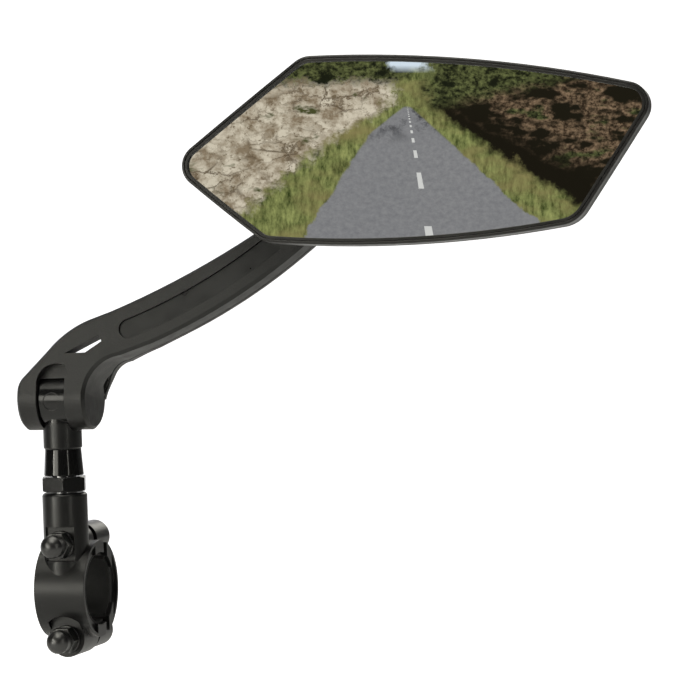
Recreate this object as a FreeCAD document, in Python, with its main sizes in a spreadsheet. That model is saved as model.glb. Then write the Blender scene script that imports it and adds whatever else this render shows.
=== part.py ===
import FreeCAD, Part
import math
import os
import re

import Sketcher
from FreeCAD import Matrix, Placement, Rotation, Vector

# Right-hand bicycle mirror: a two-piece handlebar clamp with a post, a threaded swivel stem,
# a curved arm that folds about a cross bolt, and a mirror head on a ball joint.
#
# Frame: origin at the centre of the clamp bore, +X along the bar towards its right end,
# +Y away from the rider, +Z up along the post. Millimetres.

doc = FreeCAD.newDocument("BikeMirror")
sheet = doc.addObject("Spreadsheet::Sheet", "Sizes")

SIZES = {
    # clamp
    "bar_radius": 11.1,
    "liner_wall": 0.9,
    "ring_radius": 16.0,
    "ring_width": 17.5,
    "rim_wall": 1.0,
    "side_recess": 1.2,
    "recess_stop": 4.0,
    "front_split": 3.5,
    "rear_split": 6.5,
    "post_offset": 7.5,
    "post_radius": 7.4,
    "post_top": 32.5,
    "post_edge": 1.1,
    "bolt_height": 15.7,
    "bolt_radius": 2.5,
    "bolt_clearance": 2.6,
    "flange_radius": 5.4,
    "lug_half_width": 6.0,
    "upper_seat": 12.2,
    "lower_seat": 9.9,
    "seat_half_width": 4.9,
    "seat_bottom": 10.4,
    "seat_top": 21.6,
    "spotface_radius": 7.9,
    "spotface_half_width": 5.4,
    "boss_reach": 18.4,
    "head_seat": 13.0,
    "head_radius": 4.2,
    "head_bore": 4.4,
    "key_corner": 2.3,
    "key_depth": 2.5,
    "washer_radius": 4.6,
    "washer_thickness": 1.0,
    "nut_flats": 8.0,
    "nut_hex_length": 4.6,
    "nut_cap_radius": 4.3,
    "nut_dome_radius": 3.75,
    "nut_length": 10.2,
    # threaded stem and its lock nut
    "stud_radius": 4.0,
    "stud_bottom": 22.4,
    "stud_top": 56.5,
    "post_bore": 4.08,
    "lock_bottom": 33.0,
    "lock_height": 4.9,
    "lock_flats": 13.8,
    "lock_bore": 4.08,
    "collar_bottom": 38.2,
    "collar_low_radius": 6.55,
    "collar_high_radius": 5.95,
    "neck_bottom": 46.9,
    "neck_radius": 6.35,
    "neck_edge": 0.5,
    # swivel
    "pivot_height": 63.4,
    "knuckle_radius": 9.0,
    "knuckle_edge": 0.3,
    "knuckle_half_width": 4.7,
    "shoulder_radius": 10.7,
    "mark_rise": -0.5,
    "mark_radius": 2.9,
    "mark_depth": 0.2,
    "friction_radius": 6.2,
    "friction_thickness": 1.0,
    "pivot_radius": 3.0,
    "pivot_bore": 3.05,
    "barrel_radius": 10.3,
    "barrel_half_width": 11.8,
    "slot_half_width": 4.9,
    "slot_pocket": 9.35,
    "arch_depth": 2.7,
    "arch_top": 10.0,
    "arch_right": 5.9,
    "slot_rear_top": 4.3,
    "pivot_head_radius": 5.0,
    "pivot_head_bore": 5.2,
    "pivot_head_height": 4.0,
    "spring_washer": 1.0,
    "insert_radius": 4.6,
    "insert_length": 5.6,
    # arm
    "arm_lean": 12.0,
    "arm_depth": 8.8,
    "window_plate": 5.0,
    "arm_edge": 1.0,
    "cover_thickness": 2.2,
    "cover_gap": 0.5,
    "inlay_half_width": 3.15,
    "inlay_sink": 0.7,
    "inlay_thickness": 0.9,
    "end_across": 99.0,
    "end_up": 71.3,
    "end_radius": 8.5,
    "stud_wall": 2.3,
    # ball joint
    "ball_reach": 9.8,
    "ball_radius": 6.0,
    "ball_neck": 3.0,
    "ball_flange_radius": 5.2,
    "ball_flange": 1.5,
    "seat_inner": 6.05,
    "seat_outer": 7.05,
    "seat_pocket": 7.1,
    "seat_gap": 1.6,
    "seat_rear": 3.6,
    "boss_rear": 4.4,
    "boss_radius": 10.5,
    "retainer_radius": 8.3,
    "retainer_flange_radius": 14.6,
    "retainer_front": 6.5,
    "retainer_rear": 4.7,
    "retainer_screw_circle": 11.6,
    # head
    "head_yaw": 4.0,
    "head_tilt": 6.0,
    "rim_front": 13.6,
    "lip_thickness": 1.0,
    "lip_width": 2.0,
    "glass_inset": 1.3,
    "glass_thickness": 2.0,
    "pad_thickness": 0.9,
    "pad_inset": 6.0,
    "plate_thickness": 1.2,
    "plate_inset": 4.0,
    "bezel_rear": 10.6,
    "housing_wall": 1.8,
    "housing_straight": 7.0,
}

for row, (alias, number) in enumerate(SIZES.items(), start=1):
    sheet.set(f"A{row}", alias.replace("_", " "))
    sheet.set(f"B{row}", str(number))
    sheet.setAlias(f"B{row}", alias)
doc.recompute()


def size(alias):
    return float(sheet.get(alias))


def formula(text):
    """Point every sheet alias in a formula at the sheet."""
    return re.sub(r"[a-z]+(?:_[a-z]+)+", lambda word: "Sizes." + word.group(), str(text))


def bind(item, **formulas):
    for name, text in formulas.items():
        item.setExpression(name, formula(text))


AXES = {
    "X": Rotation(Vector(0, 1, 0), 90),
    "Y": Rotation(Vector(1, 0, 0), -90),
    "-Y": Rotation(Vector(1, 0, 0), 90),
    "Z": Rotation(),
}


def put(item, base=("0", "0", "0"), axis="Z"):
    item.Placement = Placement(Vector(), AXES[axis])
    for letter, text in zip("xyz", base):
        item.setExpression("Placement.Base." + letter, formula(text))
    return item


def cylinder(name, radius, length, base=("0", "0", "0"), axis="Z"):
    item = doc.addObject("Part::Cylinder", name)
    bind(item, Radius=radius, Height=length)
    return put(item, base, axis)


def cone(name, radius_low, radius_high, length, base=("0", "0", "0"), axis="Z"):
    item = doc.addObject("Part::Cone", name)
    bind(item, Radius1=radius_low, Radius2=radius_high, Height=length)
    return put(item, base, axis)


def sphere(name, radius, base=("0", "0", "0")):
    item = doc.addObject("Part::Sphere", name)
    bind(item, Radius=radius)
    return put(item, base)


def box(name, length, width, height, corner):
    item = doc.addObject("Part::Box", name)
    bind(item, Length=length, Width=width, Height=height)
    return put(item, corner)


def hexagon(name, corner_radius, length, base, axis="Z"):
    item = doc.addObject("Part::Prism", name)
    item.Polygon = 6
    bind(item, Circumradius=corner_radius, Height=length)
    return put(item, base, axis)


def fuse(name, items):
    result = doc.addObject("Part::MultiFuse", name)
    result.Shapes = items
    result.Refine = True
    return result


def common(name, items):
    result = doc.addObject("Part::MultiCommon", name)
    result.Shapes = items
    return result


def cut(name, base, tools):
    result = doc.addObject("Part::Cut", name)
    result.Base = base
    result.Tool = tools[0] if len(tools) == 1 else fuse(name + "_tools", tools)
    return result


def turned(name, profile, base=("0", "0", "0"), axis="Z"):
    """A body turned about its own Z axis; the profile lists (radius, height) formulas."""
    body = doc.addObject("PartDesign::Body", name)
    sketch = body.newObject("Sketcher::SketchObject", name + "_profile")
    plane = next(p for p in body.Origin.OriginFeatures if p.Role == "XZ_Plane")
    sketch.AttachmentSupport = [(plane, "")]
    sketch.MapMode = "FlatFace"
    numbers = [(evaluate(r), evaluate(z)) for r, z in profile]
    points = [Vector(r, z, 0) for r, z in numbers]
    for start, end in zip(points, points[1:] + points[:1]):
        sketch.addGeometry(Part.LineSegment(start, end), False)
    count = len(points)
    for i in range(count):
        sketch.addConstraint(Sketcher.Constraint("Coincident", i, 2, (i + 1) % count, 1))
    for i, ((radius, height), (r, z)) in enumerate(zip(profile, numbers)):
        pin(sketch, i, "DistanceX", radius, r)
        pin(sketch, i, "DistanceY", height, z)
    turn = body.newObject("PartDesign::Revolution", name + "_turn")
    turn.Profile = sketch
    turn.ReferenceAxis = (sketch, ["V_Axis"])
    turn.Angle = 360
    return put(body, base, axis)


def pin(sketch, line, kind, text, number):
    """Hold one end of a line at a distance from the sketch's origin."""
    if abs(number) < 1e-9:
        axis = -2 if kind == "DistanceX" else -1
        sketch.addConstraint(Sketcher.Constraint("PointOnObject", line, 1, axis))
        return
    index = sketch.addConstraint(Sketcher.Constraint(kind, -1, 1, line, 1, number))
    sketch.setExpression(f"Constraints[{index}]", formula(text))


probe = doc.addObject("App::FeaturePython", "Probe")
probe.addProperty("App::PropertyFloat", "Number")


def evaluate(text):
    """The present value of a formula of sheet aliases."""
    probe.setExpression("Number", formula(text))
    probe.recompute()
    return probe.Number


nodes = {}


def node(label, item, placement=None):
    """Name a finished sub-part; a placement moves it from its own frame to the mirror's."""
    if placement is not None:
        for letter in "xyz":
            item.setExpression("Placement.Base." + letter, None)
        item.Placement = placement.multiply(item.Placement)
    item.Label = label
    nodes[label] = item
    return item


def solid_node(label, shape, placement=None):
    """A sub-part whose shape comes straight from Part's own functions."""
    item = doc.addObject("Part::Feature", "Shape_" + label)
    item.Shape = shape
    if placement is not None:
        item.Placement = placement.multiply(shape.Placement)
    item.Label = label
    nodes[label] = item
    return item


def copies(label, item, placements):
    """Identical fasteners: one node that holds a separate solid at each placement."""
    doc.recompute()
    solids = []
    for placement in placements:
        solid = item.Shape.copy()
        solid.Placement = placement.multiply(solid.Placement)
        solids.append(solid)
    return solid_node(label, Part.makeCompound(solids))


# ------------------------------------------------------------------ frames
pivot = Vector(0, -size("post_offset"), size("pivot_height"))
lean = Rotation(Vector(1, 0, 0), -size("arm_lean"))
ARM = Placement(pivot, lean)

ball_in_arm = Vector(size("end_across"), -size("barrel_radius") - size("ball_reach"), size("end_up"))
ball_centre = ARM.multVec(ball_in_arm)
yaw = Rotation(Vector(0, 0, 1), size("head_yaw"))
tilt = Rotation(Vector(1, 0, 0), -size("head_tilt"))
HEAD = Placement(ball_centre, yaw.multiply(tilt))

FAR = 200.0


# ------------------------------------------------------------------ clamp
def clamp_halves():
    half = "-ring_width / 2"
    ring = cylinder("RingFront", "ring_radius", "ring_width", (half, "0", "0"), "X")
    post_base = ("0", "-post_offset", "0")
    post = cylinder("Post", "post_radius", "post_top - post_edge", post_base)
    post_core = cylinder("PostCore", "post_radius - post_edge", "post_top", post_base)
    post_round = doc.addObject("Part::Torus", "PostRound")
    bind(post_round, Radius1="post_radius - post_edge", Radius2="post_edge")
    put(post_round, ("0", "-post_offset", "post_top - post_edge"), "Z")
    upper_flange = cylinder(
        "UpperFlange", "flange_radius", "post_offset + front_split", ("0", "-post_offset", "bolt_height"), "Y"
    )
    lug_length = "lower_seat + front_split"
    lug_end = cylinder("LugEnd", "lug_half_width", lug_length, ("0", "-lower_seat", "-bolt_height"), "Y")
    lug_block = box(
        "LugBlock",
        "2 * lug_half_width",
        lug_length,
        "bolt_height / 2",
        ("-lug_half_width", "-lower_seat", "-bolt_height"),
    )
    outside = fuse("FrontOutside", [ring, post, post_core, post_round, upper_flange, lug_end, lug_block])
    spot_base = ("0", "-lower_seat - 30", "-bolt_height")
    spot_round = cylinder("SpotRound", "spotface_radius", "30", spot_base, "Y")
    spot_box = box(
        "SpotBox", "2 * spotface_half_width", "60", "40", ("-spotface_half_width", "-60", "-bolt_height - 20")
    )
    front_tools = [
        clamp_bore("FrontBore"),
        box("FrontSplit", "80", "80", "120", ("-40", "front_split", "-60")),
        cylinder("PostBore", "post_bore", "40", ("0", "-post_offset", "stud_bottom")),
        box(
            "UpperSeat",
            "2 * seat_half_width",
            "20",
            "seat_top - seat_bottom",
            ("-seat_half_width", "-upper_seat - 20", "seat_bottom"),
        ),
        common("Spotface", [spot_round, spot_box]),
        cylinder("UpperHole", "bolt_clearance", "60", ("0", "-30", "bolt_height"), "Y"),
        cylinder("LowerHole", "bolt_clearance", "60", ("0", "-30", "-bolt_height"), "Y"),
    ]
    front_tools += side_recesses("FrontRecess", "-60", "60 - recess_stop")
    node("clamp_front", cut("ClampFront", outside, front_tools))

    ring_rear = cylinder("RingRear", "ring_radius", "ring_width", (half, "0", "0"), "X")
    rear_items = [ring_rear]
    rear_split = box("RearSplit", "80", "80", "120", ("-40", "rear_split - 80", "-60"))
    rear_tools = [clamp_bore("RearBore"), rear_split]
    for word, height in (("Upper", "bolt_height"), ("Lower", "-bolt_height")):
        rear_items.append(cylinder(word + "Boss", "flange_radius", "boss_reach", ("0", "0", height), "Y"))
        rear_tools.append(cylinder(word + "RearHole", "bolt_clearance", "60", ("0", "-30", height), "Y"))
        rear_tools.append(cylinder(word + "HeadBore", "head_bore", "20", ("0", "head_seat", height), "Y"))
    rear_tools += side_recesses("RearRecess", "rear_split + recess_stop", "60")
    node("clamp_rear", cut("ClampRear", fuse("RearOutside", rear_items), rear_tools))


def clamp_bore(name):
    return cylinder(name, "bar_radius + liner_wall", "80", ("-40", "0", "0"), "X")


def side_recesses(name, low, width):
    """Shallow flats inside the ring's rims, over the given stretch of Y."""
    tools = []
    for side, start in (("Left", "-ring_width / 2 - 10"), ("Right", "ring_width / 2 - side_recess")):
        disc = cylinder(
            name + side + "Disc", "ring_radius - rim_wall", "10 + side_recess", (start, "0", "0"), "X"
        )
        stretch = box(name + side + "Stretch", "60", width, "120", ("-30", low, "-60"))
        tools.append(common(name + side, [disc, stretch]))
    return tools


def bar_liners():
    for label, low, width in (
        ("bar_liner_front", "-40", "40 + front_split"),
        ("bar_liner_rear", "rear_split", "40"),
    ):
        start = "-ring_width / 2 + side_recess"
        length = "ring_width - 2 * side_recess"
        outside = cylinder(label + "_outside", "bar_radius + liner_wall", length, (start, "0", "0"), "X")
        inside = cylinder(label + "_inside", "bar_radius", "80", ("-40", "0", "0"), "X")
        shell = cut(label + "_shell", outside, [inside])
        stretch = box(label + "_stretch", "80", width, "80", ("-40", low, "-40"))
        node(label, common(label + "_half", [shell, stretch]))


def clamp_fasteners():
    for label, seat, height in (
        ("clamp_bolt_upper", "upper_seat", "bolt_height"),
        ("clamp_bolt_lower", "lower_seat", "-bolt_height"),
    ):
        shank = cylinder(
            label + "_shank",
            "bolt_radius",
            "head_seat + " + seat + " + washer_thickness + nut_length - nut_dome_radius / 2 - 0.9",
            ("0", "-" + seat + " - washer_thickness - nut_length + nut_dome_radius / 2 + 0.9", height),
            "Y",
        )
        head_base = ("0", "head_seat", height)
        head = cylinder(label + "_head", "head_radius", "boss_reach - head_seat - 0.4", head_base, "Y")
        key = hexagon(
            label + "_key", "key_corner", "10", ("0", "boss_reach - 0.4 - key_depth", height), "Y"
        )
        node(label, cut(label + "_cut", fuse(label + "_blank", [shank, head]), [key]))

    washer = turned(
        "Washer",
        [
            ("bolt_clearance", "0"),
            ("washer_radius", "0"),
            ("washer_radius", "washer_thickness - 0.2"),
            ("washer_radius - 0.2", "washer_thickness"),
            ("bolt_clearance", "washer_thickness"),
        ],
    )
    hexed = hex_blank("AcornHex", "nut_flats", "nut_hex_length")
    barrel = cylinder("AcornBarrel", "nut_dome_radius", "nut_length - nut_dome_radius")
    cap_length = cylinder("AcornCapBlank", "nut_dome_radius", "nut_length")
    cap_ball = sphere("AcornCapBall", "nut_cap_radius", ("0", "0", "nut_length - nut_cap_radius"))
    dome = common("AcornDome", [cap_length, cap_ball])
    thread = cylinder("AcornThread", "bolt_radius", "nut_length - nut_dome_radius / 2 - 0.8")
    acorn = cut("AcornNut", fuse("AcornBlank", [hexed, barrel, dome]), [thread])

    seats = ((size("upper_seat"), size("bolt_height")), (size("lower_seat"), -size("bolt_height")))
    forward = AXES["-Y"]
    copies("clamp_washers", washer, [Placement(Vector(0, -y, z), forward) for y, z in seats])
    gap = size("washer_thickness")
    copies("acorn_nuts", acorn, [Placement(Vector(0, -y - gap, z), forward) for y, z in seats])


def hex_blank(name, flats, length, top=True, bottom=False):
    """A hexagonal bar along Z with its corners turned off at one or both ends."""
    corner = "(" + flats + ") / 2 / cos(30 deg)"
    items = [hexagon(name + "_bar", corner, length, ("0", "0", "0"))]
    waist = "(" + flats + ") / 2 + 0.1"
    if top:
        items.append(cone(name + "_top", waist + " + 1.8 * (" + length + ")", waist, length))
    if bottom:
        items.append(cone(name + "_bottom", waist, waist + " + 1.8 * (" + length + ")", length))
    return common(name, items)


# ------------------------------------------------------------------ stem
def stem():
    at_post = ("0", "-post_offset", "0")
    node(
        "threaded_stud",
        turned(
            "ThreadedStud",
            [
                ("0", "stud_bottom"),
                ("stud_radius - 0.6", "stud_bottom"),
                ("stud_radius", "stud_bottom + 0.6"),
                ("stud_radius", "stud_top - 0.6"),
                ("stud_radius - 0.6", "stud_top"),
                ("0", "stud_top"),
            ],
            at_post,
        ),
    )
    node(
        "tapered_collar",
        turned(
            "TaperedCollar",
            [
                ("stud_radius", "collar_bottom"),
                ("collar_low_radius - 0.25", "collar_bottom"),
                ("collar_low_radius", "collar_bottom + 0.25"),
                ("collar_high_radius", "neck_bottom"),
                ("stud_radius", "neck_bottom"),
            ],
            at_post,
        ),
    )
    blank = hex_blank("LockHex", "lock_flats", "lock_height", True, True)
    bore = cylinder("LockBore", "lock_bore", "20", ("0", "0", "-5"))
    lock = cut("LockNut", blank, [bore])
    corner_turn = Rotation(Vector(0, 0, 1), -12)
    node("lock_nut", lock, Placement(Vector(0, -size("post_offset"), size("lock_bottom")), corner_turn))

    neck = turned(
        "Neck",
        [
            ("0", "neck_bottom"),
            ("neck_radius - neck_edge", "neck_bottom"),
            ("neck_radius", "neck_bottom + neck_edge"),
            ("neck_radius", "pivot_height"),
            ("0", "pivot_height"),
        ],
        at_post,
    )
    at_pivot = ("-post_offset", "pivot_height")
    knuckle = turned(
        "Knuckle",
        [
            ("0", "-knuckle_half_width"),
            ("knuckle_radius - knuckle_edge", "-knuckle_half_width"),
            ("knuckle_radius", "-knuckle_half_width + knuckle_edge"),
            ("knuckle_radius", "knuckle_half_width - knuckle_edge"),
            ("knuckle_radius - knuckle_edge", "knuckle_half_width"),
            ("0", "knuckle_half_width"),
        ],
        ("0", "-post_offset", "pivot_height"),
        "X",
    )
    mark_base = ("0", "-post_offset - 20", "pivot_height + mark_rise")
    mark_plug = cylinder("MarkPlug", "mark_radius", "20", mark_base, "Y")
    mark_core = across("MarkCore", "knuckle_radius - mark_depth", "-10", "20", at_pivot)
    socket_base = ("0", "-post_offset", "neck_bottom - 5")
    tools = [
        across("LeftShoulder", "shoulder_radius", "-knuckle_half_width - 10", "10", at_pivot),
        across("RightShoulder", "shoulder_radius", "knuckle_half_width", "10", at_pivot),
        across("PivotBore", "pivot_bore", "-10", "20", at_pivot),
        across("LeftSeat", "friction_radius + 0.05", "-knuckle_half_width - 5", "5.8", at_pivot),
        across("RightSeat", "friction_radius + 0.05", "knuckle_half_width - 0.8", "5.8", at_pivot),
        cylinder("StudSocket", "stud_radius", "stud_top - neck_bottom + 5", socket_base),
        cut("Mark", mark_plug, [mark_core]),
    ]
    node("swivel_knuckle", cut("SwivelKnuckle", fuse("StemBlank", [neck, knuckle]), tools))

    disc = turned(
        "FrictionDisc",
        [
            ("pivot_bore", "0"),
            ("friction_radius", "0"),
            ("friction_radius", "friction_thickness - 0.05"),
            ("pivot_bore", "friction_thickness - 0.05"),
        ],
    )
    seat = size("knuckle_half_width") - 0.8
    outward = AXES["X"]
    inward = Rotation(Vector(0, 1, 0), -90)
    copies(
        "friction_washers",
        disc,
        [Placement(pivot + Vector(seat, 0, 0), outward), Placement(pivot - Vector(seat, 0, 0), inward)],
    )


def across(name, radius, start, length, centre):
    """A cylinder along X whose axis passes (y, z) = centre."""
    return cylinder(name, radius, length, (start, centre[0], centre[1]), "X")


# ------------------------------------------------------------------ arm
# The arm is drawn in its own frame: origin at the pivot, x across, y backwards through the
# arm's depth and z up along its leaning face. The face is the plane y = -barrel_radius.

BEND = Vector(-38.5, 0, 194.6)
BEND_RADIUS = 185.3
LOWER_EDGE_RADIUS = 192.7
UPPER_BEND = Vector(-90.0, 0, 306.2)
UPPER_EDGE_RADIUS = 300.0


def on_bend(centre, radius, across_x):
    """The point at across_x on the lower side of a circle about centre."""
    return Vector(across_x, 0, centre.z - math.sqrt(radius**2 - (across_x - centre.x) ** 2))


def arc(start, middle, end):
    return Part.Arc(start, middle, end).toShape()


def line(start, end):
    return Part.makeLine(start, end)


def arm_outline():
    half = size("barrel_half_width")
    low = -size("barrel_radius")
    upper = [on_bend(UPPER_BEND, UPPER_EDGE_RADIUS, x) for x in (20.1, 44.0, 67.9)]
    lower = [on_bend(BEND, LOWER_EDGE_RADIUS, x) for x in (105.0, 70.0, 34.5)]
    left_side = Vector(-half, 0, 1.0)
    left_turn = Vector(-9.4, 0, 6.3)
    left_top = Vector(-1.6, 0, 14.5)
    crown_end = Vector(12.3, 0, 24.4)
    end_top = Vector(size("end_across") - 6.0, 0, size("end_up") + 5.0)
    inner_start = Vector(23.5, 0, 12.5)
    inner_end = Vector(half, 0, -0.71)
    return [
        line(Vector(half, 0, low), Vector(-half, 0, low)),
        line(Vector(-half, 0, low), left_side),
        arc(left_side, Vector(-11.2, 0, 3.9), left_turn),
        line(left_turn, left_top),
        arc(left_top, Vector(4.8, 0, 20.4), crown_end),
        line(crown_end, upper[0]),
        arc(*upper),
        arc(upper[2], Vector(82.0, 0, 61.5), end_top),
        line(end_top, lower[0]),
        arc(*lower),
        line(lower[2], inner_start),
        arc(inner_start, Vector(15.8, 0, 8.8), inner_end),
        line(inner_end, Vector(half, 0, low)),
    ]


def rounded_path(points, radii):
    """Straight runs through the points, with a tangent arc at each inner point."""
    edges = []
    start = points[0]
    for before, corner, after, radius in zip(points, points[1:], points[2:], radii):
        back = (before - corner).normalize()
        ahead = (after - corner).normalize()
        half_angle = back.getAngle(ahead) / 2
        reach = radius / math.tan(half_angle)
        bisector = (back + ahead).normalize()
        centre = corner + bisector * (radius / math.sin(half_angle))
        first = corner + back * reach
        last = corner + ahead * reach
        edges.append(line(start, first))
        edges.append(arc(first, centre - bisector * radius, last))
        start = last
    edges.append(line(start, points[-1]))
    return edges


def back_path(inset, low, high):
    """The arm's back seen from the side, moved inwards by inset, from height low to high."""
    radius = size("barrel_radius")
    back = size("arm_depth") - radius
    shelf = Vector(0, radius, 7.0)
    foot = Vector(0, back, 15.9)
    slope = (foot - shelf).normalize()
    normal = Vector(0, slope.z, -slope.y)
    shelf_in = shelf - Vector(0, inset, 0)
    shelf_in.z -= (inset - inset * normal.y) / normal.z
    foot_in = foot - Vector(0, inset, 0)
    foot_in.z -= (inset - inset * normal.y) / normal.z
    points = [Vector(0, radius - inset, low), shelf_in, foot_in, Vector(0, back - inset, high)]
    return rounded_path(points, [5.0 - inset, 8.0 + inset])


def arm_solids():
    radius = size("barrel_radius")
    half = size("barrel_half_width")
    edge = Part.Wire(arm_outline())
    prism = Part.Face(edge).extrude(Vector(0, 2 * radius, 0))
    prism.translate(Vector(0, -radius, 0))

    top = 120.0
    side = back_path(0.0, 0.0, top)
    back = size("arm_depth") - radius
    side.append(line(Vector(0, back, top), Vector(0, -radius, top)))
    side.append(line(Vector(0, -radius, top), Vector(0, -radius, 0)))
    side.append(arc(Vector(0, -radius, 0), Vector(0, 0, -radius), Vector(0, radius, 0)))
    side_prism = Part.Face(Part.Wire(side)).extrude(Vector(FAR, 0, 0))
    side_prism.translate(Vector(-FAR / 4, 0, 0))

    end = Vector(size("end_across"), -radius, size("end_up"))
    backwards = Vector(0, 1, 0)
    boss = Part.makeCylinder(size("end_radius"), size("arm_depth"), end, backwards)
    blank = prism.fuse(boss).removeSplitter()
    arm = chamfer_face(blank, size("arm_edge")).common(side_prism)
    arm = arm.cut(barrel_edges(size("arm_edge")))

    # the back cover: a curved plate with a shadow groove along its joint
    thickness = size("cover_thickness")
    low = 1.0
    band = strip(0.0, thickness, low, top)
    groove_band = strip(thickness - size("cover_gap"), thickness, low, top)
    inner = Part.Face(edge.makeOffset2D(-0.5)).extrude(Vector(0, 2 * radius, 0))
    inner.translate(Vector(0, -radius, 0))
    inner_boss = Part.makeCylinder(size("end_radius") - 0.5, size("arm_depth"), end, backwards)
    groove = groove_band.cut(inner).cut(inner_boss)
    cover = arm.common(band).cut(groove)
    front = arm.cut(band)

    slots = swivel_slot()
    window = arm_window()
    cover = cover.cut(slots).cut(window)
    front = front.cut(slots).cut(window)

    # end boss: stud hole, and a pocket behind it for the washer and nut
    stud_hole = Part.makeCylinder(size("ball_neck"), 30, end - backwards * 5, backwards)
    pocket_start = end + backwards * size("stud_wall")
    pocket = Part.makeCylinder(6.3, 4.3, pocket_start, backwards)
    front = front.cut(stud_hole).cut(pocket)

    # pivot bolt, spring washer and threaded insert
    sideways = Vector(1, 0, 0)
    slot = size("slot_half_width")
    bolt_hole = Part.makeCylinder(size("pivot_bore"), 2 * half, Vector(-2 * half, 0, 0), sideways)
    head_bore = Part.makeCylinder(
        size("pivot_head_bore"),
        half + size("pivot_head_height") + size("spring_washer") + 0.4,
        Vector(-2 * half, 0, 0),
        sideways,
    )
    insert_start = Vector(slot, 0, 0)
    insert_hole = Part.makeCylinder(size("insert_radius"), size("insert_length"), insert_start, sideways)
    front = front.cut(bolt_hole).cut(head_bore).cut(insert_hole)
    front = front.cut(side_notch())
    thinning = window_thinning()
    cover = cover.cut(thinning)
    front = front.cut(thinning)

    inlay_floor = size("inlay_sink") + size("inlay_thickness")
    channel = inlay_prism(size("inlay_half_width") + 0.05, 5.0 + inlay_floor)
    channel.translate(Vector(0, -radius - 5.0, 0))
    front = front.cut(channel)
    inlay = inlay_prism(size("inlay_half_width"), size("inlay_thickness"))
    inlay.translate(Vector(0, -radius + size("inlay_sink"), 0))

    # self-tapping screws that hold the cover
    head_depth = 1.4
    back_plane = back
    screws = []
    for place in screw_places():
        seat = Vector(place.x, back_plane - head_depth, place.z)
        shank = Part.makeCylinder(1.25, 5.0, seat, -backwards)
        head = Part.makeCylinder(2.2, head_depth - 0.2, seat, backwards)
        recess = Part.makeCylinder(2.3, head_depth + 5, seat, backwards)
        cross = Part.makeBox(2.4, 1.0, 0.6, seat + Vector(-1.2, head_depth - 0.9, -0.3))
        cross = cross.fuse(Part.makeBox(0.6, 1.0, 2.4, seat + Vector(-0.3, head_depth - 0.9, -1.2)))
        screws.append(shank.fuse(head).cut(cross))
        cover = cover.cut(recess).cut(shank)
        front = front.cut(shank)

    solid_node("arm_front", front.removeSplitter(), ARM)
    solid_node("arm_rear_cover", cover.removeSplitter(), ARM)
    solid_node("arm_inlay", inlay, ARM)
    solid_node("cover_screws", Part.makeCompound(screws), ARM)


def chamfer_face(shape, width):
    """Break the edge of the front face above the barrel."""
    front = -size("barrel_radius")
    edges = []
    for edge in shape.Edges:
        middle = edge.valueAt((edge.FirstParameter + edge.LastParameter) / 2)
        in_face = all(abs(v.Y - front) < 1e-4 for v in edge.Vertexes)
        if in_face and middle.z > 0:
            edges.append(edge)
    return shape.makeChamfer(width, edges)


def barrel_edges(width):
    """Tools that break the round edges at both ends of the barrel and the short runs above them."""
    radius = size("barrel_radius")
    over = 3.0
    below = Part.makeBox(80, 80, 40, Vector(-40, -40, -40))
    tools = []
    for side, front_top in ((-1, 1.0), (1, 0.5)):
        start = Vector(side * (size("barrel_half_width") - width), 0, 0)
        outward = Vector(side, 0, 0)
        disc = Part.makeCylinder(radius + over, over, start, outward)
        cone = Part.makeCone(radius, radius - over, over, start, outward)
        tools.append(disc.cut(cone).common(below))
        for face, top in ((-1, front_top), (1, 1.0)):
            corner = start + Vector(0, face * radius, 0)
            slant = corner + Vector(side * over, -face * over, 0)
            beyond = corner + Vector(side * over, face, 0)
            wedge = Part.makePolygon([corner, slant, beyond, corner + Vector(0, face, 0), corner])
            tools.append(Part.Face(wedge).extrude(Vector(0, 0, top)))
    return tools


def strip(outer, inner, low, high):
    """The slab between two inward offsets of the arm's back."""
    edges = back_path(outer, low, high)
    inside = back_path(inner, low, high)
    start_out = edges[0].Vertexes[0].Point
    end_out = edges[-1].Vertexes[-1].Point
    start_in = inside[0].Vertexes[0].Point
    end_in = inside[-1].Vertexes[-1].Point
    ring = Part.Wire(Part.__sortEdges__(edges + inside + [line(start_out, start_in), line(end_out, end_in)]))
    slab = Part.Face(ring).extrude(Vector(FAR, 0, 0))
    slab.translate(Vector(-FAR / 4, 0, 0))
    return slab


def swivel_slot():
    """Room for the knuckle, the front opening above it and the neck's way round below."""
    radius = size("barrel_radius")
    half = size("slot_half_width")
    sideways = Vector(1, 0, 0)
    pocket = Part.makeCylinder(size("slot_pocket"), 2 * half, Vector(-half, 0, 0), sideways)
    depth = 2 * radius
    below = Part.makeBox(2 * half, depth + 4, 2 * radius, Vector(-half, -radius - 2, -2 * radius))
    arch = Part.Face(Part.Wire(arch_outline())).extrude(Vector(0, size("arch_depth") + 2, 0))
    arch.translate(Vector(0, -radius - 2, 0))
    rear = Part.makeBox(2 * half, radius + 2, size("slot_rear_top") + 1, Vector(-half, 0, -1))
    return pocket.fuse([below, arch, rear])


def arch_outline():
    """The front opening: straight beside the knuckle, arched above it and wider to the right."""
    half = size("slot_half_width")
    top = size("arch_top")
    right = size("arch_right")
    spring = Vector(-half, 0, top - 7.2)
    crown = Vector(right - 5.0, 0, top)
    shoulder = Vector(right - 3.3, 0, top)
    side = Vector(right, 0, top - 2.9)
    foot = Vector(half, 0, top - 4.3)
    return [
        line(Vector(-half, 0, -1), spring),
        arc(spring, Vector(-3.2, 0, top - 2.1), crown),
        line(crown, shoulder),
        arc(shoulder, Vector(right - 0.97, 0, top - 0.85), side),
        arc(side, Vector(right - 0.3, 0, top - 3.8), foot),
        line(foot, Vector(half, 0, -1)),
        line(Vector(half, 0, -1), Vector(-half, 0, -1)),
    ]


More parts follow.
